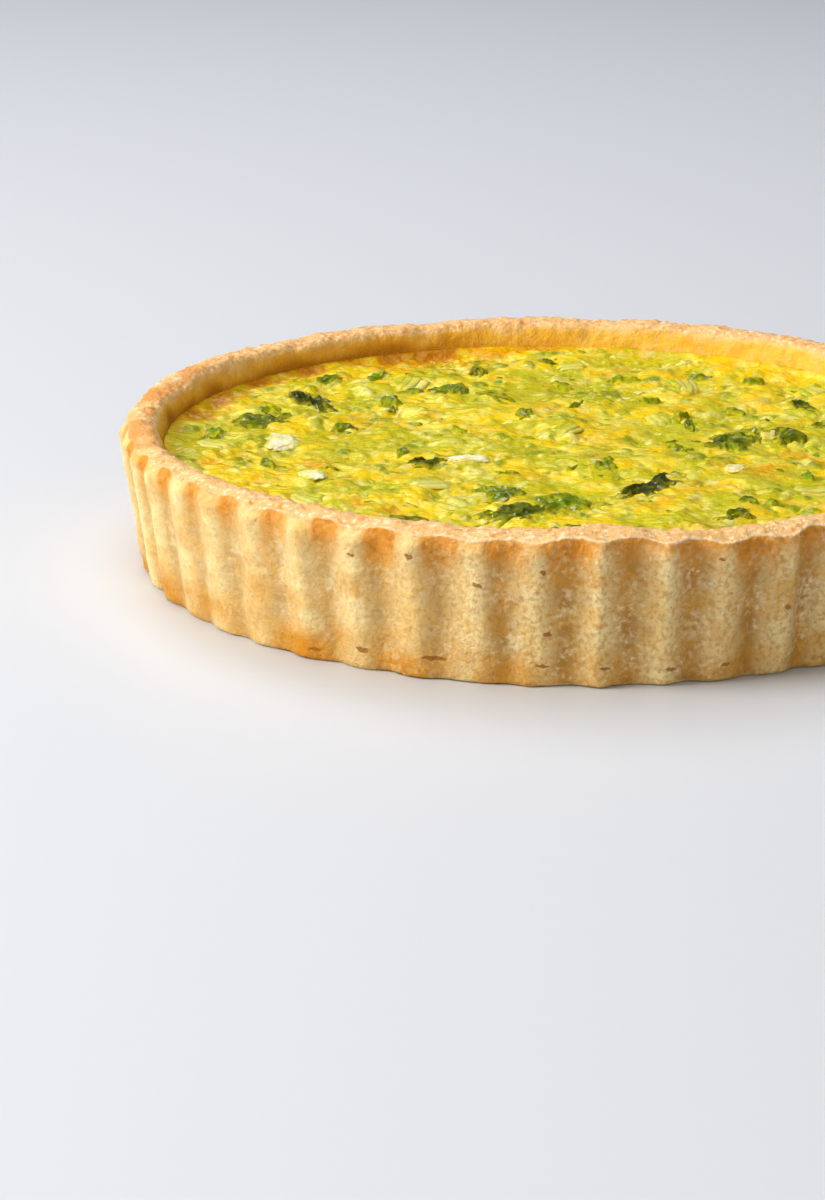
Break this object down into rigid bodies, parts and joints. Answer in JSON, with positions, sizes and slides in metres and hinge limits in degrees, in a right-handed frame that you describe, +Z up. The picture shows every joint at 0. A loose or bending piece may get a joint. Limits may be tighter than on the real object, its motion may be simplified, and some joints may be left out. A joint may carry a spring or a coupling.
{
  "type": "leek and greens quiche",
  "caption": "Deep round quiche: a fluted shortcrust case with a rim, filled below it with a lumpy set custard that carries greens, leek and white cheese.",
  "frame": {"origin": "centre of the flat base, on the surface that the quiche stands on", "axes": "+Z up through the middle of the quiche, -Y towards the viewer"},
  "size_m": [0.2286, 0.2287, 0.0376],
  "materials": {
    "shortcrust": "baked shortcrust pastry, dry and finely grained",
    "custard": "set egg custard with leek, moist sheen",
    "greens": "cooked leaves, wet sheen",
    "leek": "cooked leek, moist",
    "cheese": "crumbled white cheese, soft"
  },
  "bodies": {
    "root": {"crust": "shortcrust", "filling": "custard", "leaf_1": "greens", "leaf_2": "greens", "leaf_3": "greens", "leaf_4": "greens", "leaf_5": "greens", "leaf_6": "greens", "leaf_7": "greens", "leaf_8": "greens", "leaf_9": "greens", "leaf_10": "greens", "leaf_11": "greens", "leaf_12": "greens", "leaf_13": "greens", "leaf_14": "greens", "leaf_15": "greens", "leaf_16": "greens", "leaf_17": "greens", "leaf_18": "greens", "leaf_19": "greens", "leek_1": "leek", "leek_2": "leek", "leek_3": "leek", "leek_4": "leek", "leek_5": "leek", "leek_6": "leek", "leek_7": "leek", "leek_8": "leek", "leek_9": "leek", "leek_10": "leek", "cheese_1": "cheese", "cheese_2": "cheese", "cheese_3": "cheese", "cheese_4": "cheese", "cheese_5": "cheese"}
  },
  "joints": []
}
